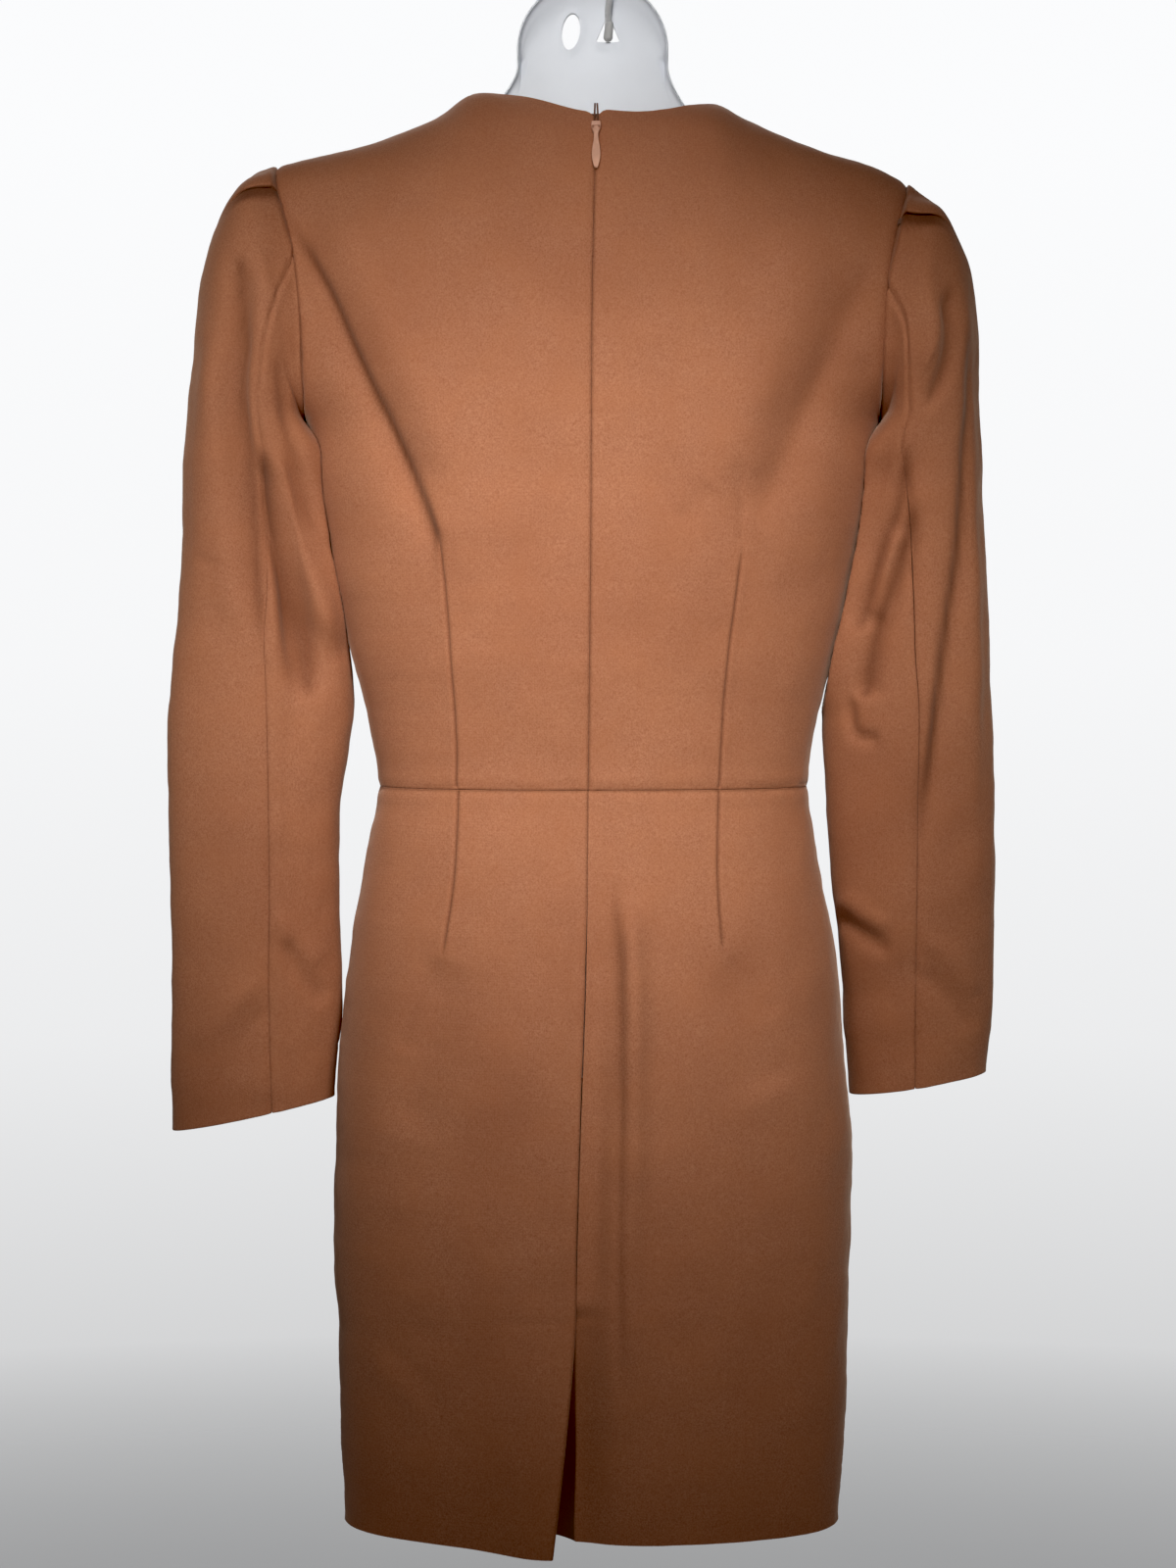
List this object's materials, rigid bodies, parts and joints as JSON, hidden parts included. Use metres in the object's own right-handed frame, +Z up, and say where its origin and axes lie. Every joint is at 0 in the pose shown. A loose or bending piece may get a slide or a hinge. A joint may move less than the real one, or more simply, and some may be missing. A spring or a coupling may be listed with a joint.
{
  "type": "long-sleeved sheath dress on hanging torso form",
  "caption": "Long-sleeved wool sheath dress with pleated sleeve heads, waist seam, darts, back zip and back vent, worn by a limbless hollow-backed hanging form with a wire hook.",
  "frame": {"origin": "where the hook bears on the rail it hangs from, inside the top of its bend", "axes": "+Z up, +Y out of the back of the dress, +X towards the wearer's left"},
  "size_m": [0.5569, 0.234, 1.0885],
  "materials": {
    "wool": "brushed wool flannel, camel brown, soft nap",
    "zip_tape": "woven zip tape, dyed to match",
    "zip_metal": "salmon brown enamel, satin",
    "form_plastic": "white moulded plastic, satin",
    "hook_steel": "plated steel wire",
    "plug": "grey plastic"
  },
  "bodies": {
    "dress": {"front_bodice": "wool", "back_bodice_left": "wool", "back_bodice_right": "wool", "front_skirt": "wool", "back_skirt_left": "wool", "back_skirt_right": "wool", "upper_sleeve_left": "wool", "upper_sleeve_right": "wool", "under_sleeve_left": "wool", "under_sleeve_right": "wool", "zip_tape": "zip_tape", "zip_slider": "zip_metal", "torso_form": "form_plastic", "hook": "hook_steel", "hook_plug": "plug"},
    "pull": {"zip_pull": "zip_metal"}
  },
  "joints": [
    {"name": "zip_pull_swing", "type": "hinge", "parent": "dress", "child": "pull", "pos_m": [-0.00207, 0.06066, -0.16437], "axis": [1, 0, 0], "range_deg": [0, 150]}
  ]
}
